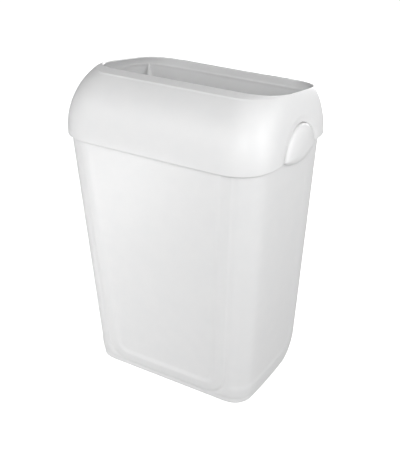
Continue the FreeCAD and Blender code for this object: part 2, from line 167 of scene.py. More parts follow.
def capped_faces(rows, columns):
    """The same with one flat face on the first row and one on the last, as a closed surface."""
    faces = grid_faces(rows, columns, False)
    last = (rows - 1) * columns
    return faces + [tuple(range(columns)), tuple(range(last, last + columns))]


def join(name, pieces):
    """One object from several, keeping each as its own closed shell."""
    working = bmesh.new()
    for piece in pieces:
        working.from_mesh(piece.data)
        bpy.data.objects.remove(piece)
    mesh = bpy.data.meshes.new(name)
    working.to_mesh(mesh)
    working.free()
    return link(name, mesh)


def smoothstep(x):
    """From 0 to 1 as x goes from 0 to 1, level at both ends."""
    x = np.clip(x, 0, 1)
    return x * x * (3 - 2 * x)


# ------------------------ plan outline
FRONT_LINE, FRONT_CORNER_ARC, SIDE_ARC, REAR_CORNER_ARC, REAR_LINE = range(5)
CORNER_REACH = 1.3              # a corner starts this many radii before the meeting of its sides
HANDLES = (0.35, 0.7)           # shares of that reach which keep the corner's ends free of curvature
DEGREE = 5                      # of the corner's curve


class Loop:
    """Columns round a rounded rectangle with bowed sides, the right half and its mirror image."""

    def __init__(self, front, corner, side_steps, rear):
        stretches = [(FRONT_LINE, np.linspace(0, 1, front + 1)),
                     (FRONT_CORNER_ARC, np.linspace(0, 1, corner + 1)),
                     (SIDE_ARC, side_steps),
                     (REAR_CORNER_ARC, np.linspace(0, 1, corner + 1)),
                     (REAR_LINE, np.linspace(0, 1, rear + 1))]
        kinds, places = [], []
        for kind, steps in stretches:
            inner = steps[:-1] if kind != REAR_LINE else steps
            kinds += [kind] * len(inner)
            places += list(inner)
        self.kind = np.array(kinds + kinds[-2:0:-1])
        self.place = np.array(places + places[-2:0:-1])
        self.sign = np.array([1] * len(kinds) + [-1] * (len(kinds) - 2))
        self.count = len(self.kind)

    def outline(self, half, front, rear, front_corner, rear_corner, middle):
        """Points and outward normals, each (columns, 2). The sides bulge most at y = middle."""
        bow_x = half - BOW_RADIUS
        front_y = front + CORNER_REACH * front_corner
        rear_y = rear - CORNER_REACH * rear_corner
        t = self.place
        zero = np.zeros(self.count)

        def on_side(y):
            turn = np.arcsin((y - middle) / BOW_RADIUS)
            return bow_x + BOW_RADIUS * np.cos(turn), turn

        def corner(end_y, line_y, reach, t):
            """Curve from the front or rear line (t = 0) to the side (t = 1), easing in and out, with
            its direction and the x where it leaves the line."""
            end_x, turn = on_side(end_y)
            tip_x = end_x + np.tan(turn) * (end_y - line_y)
            shares = (0, HANDLES[0], HANDLES[1])
            across = [tip_x - reach * (1 - share) for share in shares]
            across += [end_x + (tip_x - end_x) * share for share in shares[::-1]]
            along = [line_y + zero] * 3 + [end_y + (line_y - end_y) * share for share in shares[::-1]]
            x = y = dx = dy = zero
            for k in range(DEGREE + 1):
                weight = math.comb(DEGREE, k) * (1 - t) ** (DEGREE - k) * t ** k
                x = x + weight * across[k]
                y = y + weight * along[k]
            for k in range(DEGREE):
                weight = DEGREE * math.comb(DEGREE - 1, k) * (1 - t) ** (DEGREE - 1 - k) * t ** k
                dx = dx + weight * (across[k + 1] - across[k])
                dy = dy + weight * (along[k + 1] - along[k])
            return x, y, dx, dy, across[0]

        side_y = front_y + (rear_y - front_y) * t
        side_x, side_turn = on_side(side_y)
        fx, fy, fdx, fdy, front_end = corner(front_y, front, CORNER_REACH * front_corner, t)
        rx, ry, rdx, rdy, rear_end = corner(rear_y, rear, CORNER_REACH * rear_corner, 1 - t)
        kinds = [self.kind == kind for kind in range(5)]
        x = np.select(kinds, [front_end * t, fx, side_x, rx, rear_end * (1 - t)])
        y = np.select(kinds, [front + zero, fy, side_y, ry, rear + zero])
        normal_x = np.select(kinds, [zero, fdy, np.cos(side_turn), -rdy, zero])
        normal_y = np.select(kinds, [zero - 1, -fdx, np.sin(side_turn), rdx, zero + 1])
        length = np.hypot(normal_x, normal_y)
        return (np.stack([x * self.sign, y], 1),
                np.stack([normal_x / length * self.sign, normal_y / length], 1))


# ------------------------ bin body
def body_sizes(z):
    """Half width, front wall and front corner radius of the body at heights z."""
    t = np.clip((z - BASE_Z) / (TOP_Z - BASE_Z), 0, 1)
    return (BASE_HALF + (TOP_HALF - BASE_HALF) * t, BASE_FRONT + (TOP_FRONT - BASE_FRONT) * t,
            BASE_CORNER + (TOP_CORNER - BASE_CORNER) * t)


def heel_back(z, floor_z, radius):
    """How far back the body reaches at a height, round the heel above a floor."""
    above = np.clip(radius - (z - floor_z), 0, radius)
    return BODY_BACK - HEEL + np.sqrt(np.maximum(radius ** 2 - above ** 2, 0))


def body_ring(loop, z, inset, floor_z, radius):
    """The body's outline at heights z (one per column), drawn in by an inset."""
    half, front, corner = body_sizes(z)
    back = heel_back(z, floor_z, radius)
    points, normals = loop.outline(half - inset, front + inset, back, np.maximum(corner - inset, WALL),
                                   np.maximum(REAR_CORNER - inset, WALL), BODY_MIDDLE_Y)
    return np.column_stack([points, z + np.zeros(loop.count)]), normals


PANEL_HEIGHT = 3.2 * MM         # the panels' relief at the base
PANEL_FADE = 1.5 * MM           # what it loses by the rim
PANEL_BASE = 11 * MM            # their lower edges lie this far above the underside
PANEL_SIDE = 40 * MM            # the front panel ends this far inside the body's half width
PANEL_CORNER = 45 * MM          # its lower corners
FIELD_SHARE = 0.5               # height of the field round the corners, as a share of the front panel's
FIELD_BACK = 26 * MM            # it ends this far before the body's back, and twice as far at the rim
FIELD_CORNER = 62 * MM          # its lower corner
NO_EDGE = 1.0                   # stands for an edge too far away to matter
FRONT_FACING = -0.5             # y of the outward normal below which a wall counts as the front
CREASE_WIDTH = 9 * MM           # outer slope of the crease round the front panel
PANEL_STEP = 4 * MM             # width of the crisp edge of each moulded panel
PANEL_BEAD = 20 * MM            # width of the raised border inside that edge
PANEL_DISH = 12 * MM            # the panel sinks again over this width inside its border
STEP_SHARE = 0.55               # share of the relief that the edge gives; the border gives the rest
DISH_SHARE = 0.6                # share of the relief that the panel loses inside its border


def panel_profile(inward):
    """Share of the relief at a distance inward from a panel's outline."""
    edge = STEP_SHARE * smoothstep(inward / PANEL_STEP)
    bead = (1 - STEP_SHARE) * np.clip((inward - PANEL_STEP) / (PANEL_BEAD - PANEL_STEP), 0, 1)
    return edge + bead - DISH_SHARE * smoothstep((inward - PANEL_BEAD) / PANEL_DISH)


def rounded_inward(left, right, bottom, radius):
    """Distance inside an outline given by distances inward from its left, right and lower edges."""
    sideways = np.minimum(left, right)
    corner = radius - np.hypot(np.maximum(radius - sideways, 0), np.maximum(radius - bottom, 0))
    return np.where((sideways < radius) & (bottom < radius), corner, np.minimum(sideways, bottom))


def panel_relief(points, normals):
    """Height of the moulded panels of the front and the sides, for points on the outer wall. One
    raised field runs round the front corners on to the sides; the front panel lies in it, inside a
    crease."""
    x, y, z = points.T
    half, _, _ = body_sizes(z)
    rise = (z - BASE_Z) / (TOP_Z - BASE_Z)
    height = PANEL_HEIGHT - PANEL_FADE * smoothstep(rise)
    bottom = z - BASE_Z - PANEL_BASE
    field = rounded_inward(np.full(len(x), NO_EDGE), BODY_BACK - FIELD_BACK * (1 + rise) - y, bottom,
                           FIELD_CORNER)
    beside = half - PANEL_SIDE
    panel = rounded_inward(beside + x, beside - x, bottom, PANEL_CORNER)
    panel = np.where(normals[:, 1] < FRONT_FACING, panel, -NO_EDGE)
    crease = smoothstep(-panel / CREASE_WIDTH)
    return height * np.where(panel > 0, panel_profile(panel),
                             FIELD_SHARE * crease * panel_profile(field))


FLOOR_SHARES = np.linspace(0.06, 0.97, 9)       # rings of a floor, as shares of its edge
FINE_START = 1.5 * MM           # the outer wall's first row, above the underside's rounding
FINE_STEP = 1.6 * MM            # between its rows
FINE_END = 60 * MM              # its rows lie wider apart above this height
HEEL_END = 0.35                 # angle up the inner heel at which the floor's own rounding starts
WALL_ROWS = 100                 # numbers of rows in each stretch of the body's mesh
INNER_WALL_ROWS = 40
HEEL_ROWS = 12
RIM_ROWS = 8
BASE_EDGE_ROWS = 7
INNER_EDGE_ROWS = 5


def ear_lift(height, ear_top):
    """How far a row of the wall at this height is lifted towards the ears."""
    share = (height - BASE_Z) / (TOP_Z - BASE_Z)
    return smoothstep((share - EAR_START) / (1 - EAR_START)) * (ear_top - TOP_Z)


def make_body():
    """The bucket, from the middle of the underside up the outer wall, over the rim and down inside."""
    loop = Loop(front=52, corner=44, side_steps=np.linspace(0, 1, 47), rear=16)
    rows = []

    def floor_rows(z, inset, floor_z, radius, steps):
        edge, _ = body_ring(loop, z, inset, floor_z, radius)
        centre = np.array([0, (edge[:, 1].min() + edge[:, 1].max()) / 2, 0])
        for share in steps:
            shrunk = edge.copy()
            shrunk[:, :2] = centre[:2] + (edge[:, :2] - centre[:2]) * share
            rows.append(shrunk)

    flat = np.full(loop.count, BASE_Z)
    floor_rows(flat, BASE_EDGE, BASE_Z, HEEL, FLOOR_SHARES)
    for angle in np.linspace(0, math.pi / 2, BASE_EDGE_ROWS):
        z = flat + BASE_EDGE * (1 - math.cos(angle))
        ring, _ = body_ring(loop, z, BASE_EDGE * (1 - math.sin(angle)), BASE_Z, HEEL)
        rows.append(ring)
    # outer wall, as far as the rim; the ears rise above it behind the side caps
    ear_top = ear_heights(loop)
    heights = list(np.arange(BASE_Z + BASE_EDGE + FINE_START, BASE_Z + FINE_END, FINE_STEP))
    heights += list(np.linspace(heights[-1], TOP_Z, WALL_ROWS)[1:])
    for height in heights:
        ring, normals = body_ring(loop, height + ear_lift(height, ear_top), 0, BASE_Z, HEEL)
        ring[:, :2] += normals * panel_relief(ring, normals)[:, None]
        rows.append(ring)
    # rim, rounded over the wall's thickness
    outer = rows[-1]
    for angle in np.linspace(0, math.pi, RIM_ROWS)[1:-1]:
        ring = outer.copy()
        ring[:, :2] -= normals * WALL / 2 * (1 - math.cos(angle))
        ring[:, 2] += WALL / 2 * math.sin(angle)
        rows.append(ring)
    # inside
    inner_floor = BASE_Z + FLOOR
    inner_radius = HEEL - WALL
    for height in np.linspace(TOP_Z, BASE_Z + HEEL, INNER_WALL_ROWS):
        ring, _ = body_ring(loop, height + ear_lift(height, ear_top), WALL, inner_floor, inner_radius)
        rows.append(ring)
    for angle in np.linspace(math.pi / 2, HEEL_END, HEEL_ROWS)[1:]:
        z = np.full(loop.count, inner_floor + inner_radius * (1 - math.cos(angle)))
        ring, _ = body_ring(loop, z, WALL, inner_floor, inner_radius)
        rows.append(ring)
    rounding = rows[-1][0, 2] - inner_floor
    for angle in np.linspace(0, math.pi / 2, INNER_EDGE_ROWS)[1:]:
        z = np.full(loop.count, inner_floor + rounding * (1 - math.sin(angle)))
        inset = WALL + rounding * (1 - math.cos(angle))
        ring, _ = body_ring(loop, z, inset, inner_floor, inner_radius)
        rows.append(ring)
    floor_rows(np.full(loop.count, inner_floor), WALL + rounding, inner_floor, inner_radius,
               FLOOR_SHARES[::-1])

    shell = mesh_object("bin_body_wall", np.concatenate(rows), capped_faces(len(rows), loop.count))
    bored(shell, body_cutters())
    return join("bin_body_shell", [shell] + body_fittings())


def rounded_box(name, low, high, radius):
    """A closed block with rounded edges."""
    working = bmesh.new()
    bmesh.ops.create_cube(working, size=1)
    low, high = Vector(low), Vector(high)
    for vertex in working.verts:
        vertex.co = (low + high) / 2 + Vector(a * b for a, b in zip(vertex.co, high - low))
    bmesh.ops.bevel(working, geom=list(working.edges), offset=radius, segments=3, affect="EDGES")
    mesh = bpy.data.meshes.new(name)
    working.to_mesh(mesh)
    working.free()
    mesh.polygons.foreach_set("use_smooth", [True] * len(mesh.polygons))
    return link(name, mesh)


def lathe(name, centre, axis, profile, segments=48):
    """A closed solid of revolution from (distance along the axis, radius) points, with flat ends."""
    axis = Vector(axis)
    side = axis.orthogonal().normalized()
    across = axis.cross(side)
    vertices = []
    for along, radius in profile:
        for step in range(segments):
            angle = 2 * math.pi * step / segments
            vertices.append(Vector(centre) + axis * along
                            + (side * math.cos(angle) + across * math.sin(angle)) * radius)
    return mesh_object(name, vertices, capped_faces(len(profile), segments))


def bored(thing, cutter):
    """The thing with the cutter's volume taken away. The cutter is removed."""
    modifier = thing.modifiers.new("bore", "BOOLEAN")
    modifier.operation = "DIFFERENCE"
    modifier.solver = "EXACT"
    modifier.object = cutter
    graph = bpy.context.evaluated_depsgraph_get()
    mesh = bpy.data.meshes.new_from_object(thing.evaluated_get(graph))
    thing.modifiers.clear()
    thing.data = mesh
    bpy.data.objects.remove(cutter)
    return thing


def body_fittings():
    """Ledges for the bag ring inside the front wall, and pads on the back for a wall."""
    fittings = []
    for side, sign in SIDES:
        ledge_x = sign * LEDGE_SPACING / 2
        low = (ledge_x - LEDGE_WIDTH / 2, TOP_FRONT + LEDGE_ROOT, LEDGE_HEIGHT - LEDGE_THICKNESS)
        high = (ledge_x + LEDGE_WIDTH / 2, TOP_FRONT + WALL + LEDGE_DEPTH, LEDGE_HEIGHT)
        fittings.append(rounded_box(f"{side}_ledge", low, high, FITTING_EDGE))
        for row, height in (("upper", FIXING_HEIGHT), ("lower", LOWER_PAD_HEIGHT)):
            centre = (sign * FIXING_SPACING / 2, 0, height)
            edge = FITTING_EDGE
            # the foot flares out on the back, and two short slopes round the outer edge
            profile = [(BODY_BACK - WALL / 2, PAD_RADIUS + edge), (BODY_BACK, PAD_RADIUS + edge),
                       (BODY_BACK + edge, PAD_RADIUS), (COVER_BACK - edge, PAD_RADIUS),
                       (COVER_BACK - edge * PAD_SLOPE, PAD_RADIUS - edge * PAD_SLOPE),
                       (COVER_BACK, PAD_RADIUS - edge)]
            pad = lathe(f"{row}_{side}_pad", centre, (0, 1, 0), profile)
            if row == "upper":
                pad = bored(pad, fixing_cutter(side, sign))
            fittings.append(pad)
    return fittings


def fixing_cutter(side, sign):
    """The volume of a wall fixing's hole, through the pad and the wall behind it."""
    return lathe(f"{side}_fixing_cutter", (sign * FIXING_SPACING / 2, 0, FIXING_HEIGHT), (0, 1, 0),
                 [(BODY_BACK - 3 * WALL, FIXING_RADIUS), (COVER_BACK + WALL, FIXING_RADIUS)])


def body_cutters():
    """One mesh with the volumes of the body's holes: wall fixings, ring pins, cap pegs and feet."""
    cutters = []
    for side, sign in SIDES:
        cutters.append(fixing_cutter(side, sign))
        holes = (("pin", PIVOT_Y, PIN_HOLE),
                 ("front_peg", PIVOT_Y - PEG_OFFSET, PEG_HOLE),
                 ("rear_peg", PIVOT_Y + PEG_OFFSET, PEG_HOLE))
        for name, y, radius in holes:
            cutters.append(lathe(f"{side}_{name}_cutter", (0, y, PIVOT_Z), (sign, 0, 0),
                                 [(TOP_HALF - 3 * WALL, radius), (TOP_HALF + WALL, radius)]))
        for end in ("front", "rear"):
            low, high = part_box(f"{end}_{side}_foot")
            middle = ((low.x + high.x) / 2, (low.y + high.y) / 2, 0)
            cutters.append(lathe(f"{end}_{side}_stem_cutter", middle, (0, 0, 1),
                                 [(BASE_Z - WALL, STEM_HOLE), (BASE_Z + 2 * FLOOR, STEM_HOLE)]))
    return join("body_cutters", cutters)


def ear_heights(loop):
    """Height of the body's rim at each column: level, but arched behind the side caps."""
    half, front, corner = body_sizes(np.full(loop.count, TOP_Z))
    points, _ = loop.outline(half, front, np.full(loop.count, BODY_BACK), corner,
                             np.full(loop.count, REAR_CORNER), BODY_MIDDLE_Y)
    reach = np.clip(EAR_RADIUS ** 2 - (points[:, 1] - PIVOT_Y) ** 2, 0, None)
    arch = PIVOT_Z + np.sqrt(reach)
    return np.where(loop.kind == SIDE_ARC, np.maximum(arch, TOP_Z), TOP_Z)


# ------------------------ cover
EDGE_BULGE = 0.5 * MM           # the cover's lower edge stands out by this much at its middle
EDGE_ROUND = 1.3 * MM           # rounding of its outer side
INNER_STEP = 0.6 * MM           # height of the fine ridge inside the mouth
INNER_STEP_WIDTH = 2.5 * MM
INNER_STEP_DEPTH = 14 * MM      # below the mouth's edge
CAP_SHADOW_GAP = 0.3 * MM       # extra width of the groove between the cap and the cover
RECESS_DEPTH = 2.8 * MM         # soft recess of the cover round each side cap
RECESS_WIDTH = 15 * MM
SIDE_FACING = 0.9               # the recess is cut only where the cover faces sideways this much
LIP_SIDE = 2.5 * MM             # radius of the mouth's rolled lip along the sides and the back
LIP_FRONT = 4.5 * MM            # what it gains along the front
LIP_LEAST = 0.5 * MM            # and its least radius on the inner skin

RIB_THICKNESS = 2.4 * MM
RIB_DEPTH = 11 * MM
RIB_RISE = 23.5 * MM            # height of the front and side ribs
RIB_LEVELS = 9                  # points up a rib's outer edge
RIB_SOFT = 2 * MM               # a rib's inner corners are cut back by this much
RIB_BLUNT = 0.6 * MM            # and their middles by this much
REAR_RIB_X = 177 * MM
REAR_RIB_RISE = 62 * MM
REAR_RIB_TIP = 1 * MM           # depth of a rear rib at its upper end
TAPER_START = 0.2               # share of its height at which it begins to narrow
SIDE_RIB_OFFSET = 16 * MM       # from the arc of a cap to the ribs beside it
REST_GAP = 0.3 * MM             # between the ribs and the top of the body's straight wall

END_ANGLE = math.radians(69)    # the dome's section stops here, before it lies level
BAND = 0.34                     # share of the front's run taken by the flat band before the mouth
BAND_RISE = 0.014               # share of the front's rise taken by it
FOLD_SHARE = 0.76               # share of the section's length at which that band begins
FOLD_BEAD = 0.011               # height of the fine bead where it begins, as a share of the rise
FOLD_WIDTH = 0.012              # width of that bead, as a share of the section's length
FACING_REACH = 1.15             # how fast the front's shape fades round the front corners
FACING_POWER = 1.5

ARCH_COLUMNS = 60               # numbers of columns over a side cap, and before and after it
SIDE_COLUMNS = 14
OUTER_ROWS = 96                 # numbers of rows of the outer, inner and middle skin
INNER_ROWS = 60
MIDDLE_ROWS = 30
EDGE_SHARES = [0, 0.003, 0.007, 0.012]          # rows close to the lower edge
EDGE_END = 0.018                # share at which the even rows start
FOLD_ROWS_REACH = 0.03          # extra rows lie this far to either side of the fold
HALF_ROUND = np.linspace(0, math.pi, 9)[1:-1]   # angles of the rows round an edge
HIGHEST_START = 0.7             # share that lies above the arch over a side cap in every column
HALVINGS = 40                   # steps of the search for a column's start
LEAST_BAND = 1e-6               # keeps the band's share from a division by zero
ARCH_MARGIN = 0.05 * MM         # a lower edge this far up belongs to the arch


def dome_section(share, facing):
    """Shares of the way in and of the way up, at a share of the section's length."""
    fold_in = 1 - BAND * facing
    fold_up = 1 - BAND_RISE * facing
    lower_share = 1 - (1 - FOLD_SHARE) * facing
    angle = END_ANGLE * np.clip(share / lower_share, 0, 1)
    inwards = fold_in * (1 - np.cos(angle)) / (1 - math.cos(END_ANGLE))
    upwards = fold_up * np.sin(angle) / math.sin(END_ANGLE)
    band = np.clip((share - lower_share) / np.maximum(1 - lower_share, LEAST_BAND), 0, 1)
    bead = FOLD_BEAD * facing * np.exp(-((share - lower_share) / FOLD_WIDTH) ** 2)
    return inwards + (1 - fold_in) * band, upwards + (1 - fold_up) * band + bead


def cover_facing(loop):
    """1 where a column lies on the front of the cover, falling to 0 round the front corners."""
    on_corner = np.cos(np.clip(loop.place * FACING_REACH, 0, 1) * math.pi / 2) ** FACING_POWER
    return np.select([loop.kind == FRONT_LINE, loop.kind == FRONT_CORNER_ARC],
                     [np.ones(loop.count), on_corner], 0.0)


def cover_surface(loop, share, skin):
    """Points of the dome, one per column, at shares of its section's length, drawn in by a skin."""
    inset, rise = dome_section(share, cover_facing(loop))
    half = COVER_HALF - skin - (SIDE_INSET - skin) * inset
    front = COVER_FRONT + skin + (RIM_FRONT - COVER_FRONT - skin) * inset
    rear = np.full(loop.count, COVER_BACK - skin)
    front_corner = COVER_FRONT_CORNER - skin + (RIM_FRONT_CORNER - COVER_FRONT_CORNER + skin) * rise
    rear_corner = COVER_REAR_CORNER - skin + (RIM_REAR_CORNER - COVER_REAR_CORNER) * rise
    points, normals = loop.outline(half, front, rear, front_corner, rear_corner, COVER_MIDDLE_Y)
    depth = (points[:, 1] - front) / (rear - front)
    top = (FRONT_RISE - skin) + (REAR_RISE - FRONT_RISE) * depth
    return np.column_stack([points, COVER_BASE + top * rise]), normals


def lowest_share(loop, skin, edge_z, notch):
    """Share at which each column starts: at the lower edge, or at the arch over the side cap."""
    low = np.zeros(loop.count)
    high = np.full(loop.count, HIGHEST_START)

    def clear(share):
        points, _ = cover_surface(loop, share, skin)
        beyond = (points[:, 1] - PIVOT_Y) ** 2 + (points[:, 2] - PIVOT_Z) ** 2 >= notch ** 2
        beyond |= loop.kind != SIDE_ARC
        return beyond & (points[:, 2] >= edge_z)

    for _ in range(HALVINGS):
        middle = (low + high) / 2
        good = clear(middle)
        high = np.where(good, middle, high)
        low = np.where(good, low, middle)
    return high


def roll_lip(rows, facing, skin):
    """Turn the last rows before the mouth down over a quarter circle, widest along the front."""
    steps = np.linalg.norm(np.diff(rows, axis=0), axis=2)
    to_rim = np.concatenate([np.cumsum(steps[::-1], 0)[::-1], np.zeros((1, rows.shape[1]))])
    radius = np.maximum(LIP_SIDE + LIP_FRONT * facing - skin, LIP_LEAST)
    short = np.clip(radius - to_rim, 0, radius)
    rows[:, :, 2] -= radius - np.sqrt(radius ** 2 - short ** 2)
    return rows


def sink_round_cap(rows, normals, notch):
    """Draw the cover's sides in towards the arch over the side cap, as a soft recess."""
    from_arch = np.hypot(rows[:, :, 1] - PIVOT_Y, rows[:, :, 2] - PIVOT_Z) - notch
    on_side = np.abs(normals[:, 0]) > SIDE_FACING
    depth = RECESS_DEPTH * smoothstep(1 - from_arch / RECESS_WIDTH) * on_side
    rows[:, :, :2] -= normals[None] * depth[:, :, None]


def soften_edge(rows, normals):
    """Draw the first rows in round a quarter circle, so that the lower edge is soft outside."""
    steps = np.linalg.norm(np.diff(rows, axis=0), axis=2)
    from_edge = np.concatenate([np.zeros((1, rows.shape[1])), np.cumsum(steps, 0)])
    short = np.clip(EDGE_ROUND - from_edge, 0, EDGE_ROUND)
    inwards = EDGE_ROUND - np.sqrt(EDGE_ROUND ** 2 - short ** 2)
    rows[:, :, :2] -= normals[None] * inwards[:, :, None]


def inner_step(rows, normals, facing):
    """A fine ridge round the inside of the mouth, a little below its edge, except along the front."""
    below = (rows[-1:, :, 2] - rows[:, :, 2] - INNER_STEP_DEPTH) / INNER_STEP_WIDTH
    height = INNER_STEP * np.exp(-below ** 2) * (1 - facing)
    rows[:, :, :2] -= normals[None] * height[:, :, None]


def make_cover():
    """The dome: its outer skin up to the mouth, the inner skin back down, and the ribs inside."""
    notch = CAP_RADIUS + CAP_GAP + EDGE_BULGE + CAP_SHADOW_GAP
    edge_z = COVER_BASE + EDGE_BULGE
    # columns of the side gather towards the two ends of the notch's arch
    front_y = COVER_FRONT + CORNER_REACH * COVER_FRONT_CORNER
    rear_y = COVER_BACK - CORNER_REACH * COVER_REAR_CORNER
    half_chord = math.sqrt(notch ** 2 - (edge_z - PIVOT_Z) ** 2)
    first = math.asin((edge_z - PIVOT_Z) / notch)
    arch = PIVOT_Y - notch * np.cos(np.linspace(first, math.pi - first, ARCH_COLUMNS))
    before = np.linspace(front_y, PIVOT_Y - half_chord, SIDE_COLUMNS)[:-1]
    after = np.linspace(PIVOT_Y + half_chord, rear_y, SIDE_COLUMNS)[1:]
    side_steps = (np.concatenate([before, arch, after]) - front_y) / (rear_y - front_y)
    loop = Loop(front=36, corner=30, side_steps=side_steps, rear=24)
    facing = cover_facing(loop)

    def skin_rows(skin, count):
        start = lowest_share(loop, skin, edge_z, notch)
        near_fold = FOLD_SHARE + np.linspace(-FOLD_ROWS_REACH, FOLD_ROWS_REACH, count // 4)
        steps = np.concatenate([EDGE_SHARES, np.linspace(EDGE_END, 1, count), near_fold])
        rows = []
        for step in np.sort(steps):
            points, normals = cover_surface(loop, start + (1 - start) * step, skin)
            rows.append(points)
        rows = np.stack(rows)
        for _ in range(2):
            rows[1:-1] = (rows[:-2] + 2 * rows[1:-1] + rows[2:]) / 4
        sink_round_cap(rows, normals, notch)
        return roll_lip(rows, facing, skin), normals

    outer, normals = skin_rows(0, OUTER_ROWS)
    soften_edge(outer, normals)
    inner, _ = skin_rows(WALL, INNER_ROWS)
    inner_step(inner, normals, facing)
    rows = list(outer)
    # mouth edge: half round from the outer skin to the inner one
    top, under = outer[-1], inner[-1]
    middle = (top + under) / 2
    spoke = (top - under) / 2
    along = (spoke[:, :2] * normals).sum(1)
    bulge = np.column_stack([-normals * spoke[:, 2:3], along])
    for angle in HALF_ROUND:
        rows.append(middle + spoke * math.cos(angle) + bulge * math.sin(angle))
    rows += list(inner[::-1])
    # lower edge: shallow round from the inner skin to the outer one, facing down or into the notch
    low, inside = outer[0], inner[0]
    radial = np.column_stack([np.zeros(loop.count), low[:, 1] - PIVOT_Y, low[:, 2] - PIVOT_Z])
    radial /= np.linalg.norm(radial, axis=1)[:, None]
    in_arch = (loop.kind == SIDE_ARC) & (low[:, 2] > edge_z + ARCH_MARGIN)
    down = np.where(in_arch[:, None], -radial, np.array([0, 0, -1.0]))
    middle = (low + inside) / 2
    spoke = (inside - low) / 2
    for angle in HALF_ROUND:
        rows.append(middle + spoke * math.cos(angle) + down * EDGE_BULGE * math.sin(angle) ** 0.5)
    shell = mesh_object("cover_dome", np.concatenate(rows), grid_faces(len(rows), loop.count, True))
    middle_skin, _ = skin_rows(WALL / 2, MIDDLE_ROWS)
    return join("cover_shell", [shell] + cover_ribs(middle_skin, loop))


def rib(name, base, outward, low, high, reach, depth, tip=None):
    """A thin upright plate: its outer edge lies in the cover's wall (reach gives it at a height).
    With a tip depth its inner edge slopes outward over the upper part."""
    heights = np.linspace(low, high, RIB_LEVELS)
    sideways = Vector((-outward.y, outward.x, 0)) * RIB_THICKNESS / 2
    outline = [(reach(z), z) for z in heights]
    inner = reach(high) - depth
    if tip is None:
        outline += [(inner + RIB_SOFT, high), (inner + RIB_BLUNT, high - RIB_BLUNT),
                    (inner, high - RIB_SOFT)]
    else:
        outline += [(reach(high) - tip, high), (inner, low + (high - low) * TAPER_START)]
    outline += [(inner, low + RIB_SOFT), (inner + RIB_BLUNT, low + RIB_BLUNT), (inner + RIB_SOFT, low)]
    count = len(outline)
    vertices = []
    for side in (-1, 1):
        for distance, z in outline:
            point = base + outward * distance + sideways * side
            vertices.append((point.x, point.y, z))
    faces = [tuple(range(count)), tuple(range(2 * count - 1, count - 1, -1))]
    for corner in range(count):
        beside = (corner + 1) % count
        faces.append((corner, beside, count + beside, count + corner))
    return mesh_object(name, vertices, faces, smooth=False)


def cover_ribs(skin, loop):
    """Plates inside the cover, from just above the body's straight wall; the rim's rounding reaches a
    little way into them. The skin is the rows of the surface midway through the cover's wall, which
    the outer edges of the plates lie in."""
    low = TOP_Z + REST_GAP

    def level(z):
        """The skin's outline at a height."""
        return np.array([[np.interp(z, skin[:, column, 2], skin[:, column, axis]) for axis in (0, 1)]
                         for column in range(loop.count)])

    def reach_at(along_x, place, way):
        """Distance outward of the skin at a height, for a plate at one x or one y."""
        def reach(z):
            outline = level(z)
            fixed, free = outline[:, 0 if along_x else 1], outline[:, 1 if along_x else 0]
            chosen = np.where(free * way > 0)[0]
            order = chosen[np.argsort(fixed[chosen])]
            return float(np.interp(place, fixed[order], free[order] * way))
        return reach

    ribs = []
    for side, sign in SIDES:
        for share in (1, 2):
            x = sign * share * COVER_HALF / 3
            ribs.append(rib(f"{side}_front_rib_{share}", Vector((x, 0, 0)), Vector((0, -1, 0)), low,
                            low + RIB_RISE, reach_at(True, x, -1), RIB_DEPTH))
        x = sign * REAR_RIB_X
        ribs.append(rib(f"{side}_rear_rib", Vector((x, 0, 0)), Vector((0, 1, 0)), low,
                        low + REAR_RIB_RISE, reach_at(True, x, 1), RIB_DEPTH, REAR_RIB_TIP))
        for end, way in (("front", -1), ("rear", 1)):
            y = PIVOT_Y + way * (CAP_RADIUS + SIDE_RIB_OFFSET)
            ribs.append(rib(f"{side}_{end}_side_rib", Vector((0, y, 0)), Vector((sign, 0, 0)), low,
                            low + RIB_RISE, reach_at(False, y, sign), RIB_DEPTH))
    return ribs


# ------------------------ side caps
CAP_EDGE_X = 196.0 * MM         # where a cap's dome starts
CAP_BACK_X = 194.4 * MM         # its flat back
CROWN_GAP = 0.2 * MM            # the dome stays this far inside the CAD's
CAP_CENTRE_RISE = 14 * MM       # middle of the dome, above the pin
CAP_ROUNDNESS = 0.8             # 1 gives an ellipse; less gives fuller shoulders
BACK_SHARES = (0.3, 0.7, 0.94, 1.0)     # rings of the back, as shares of the outline
CAP_POINTS = 72                 # points along the upper arc
DOME_ROWS = 22


def cap_outline(count):
    """Half-moon seen from the side, as (y from the pin, z), with slightly blunted points."""
    lower_centre = CAP_LOW.z + CAP_LOWER_RADIUS
    gap = lower_centre - PIVOT_Z
    meet = (gap ** 2 + CAP_RADIUS ** 2 - CAP_LOWER_RADIUS ** 2) / (2 * gap)
    tip_y = math.sqrt(CAP_RADIUS ** 2 - meet ** 2)
    upper_start = math.atan2(meet, tip_y)
    lower_half = math.asin(tip_y / CAP_LOWER_RADIUS)
    upper = np.linspace(upper_start, math.pi - upper_start, count)
    lower = np.linspace(-lower_half, lower_half, count // 2 + 2)[1:-1]
    points = [(CAP_RADIUS * math.cos(a), PIVOT_Z + CAP_RADIUS * math.sin(a)) for a in upper]
    points += [(CAP_LOWER_RADIUS * math.sin(a), lower_centre - CAP_LOWER_RADIUS * math.cos(a))
               for a in lower]
    return np.array(points)


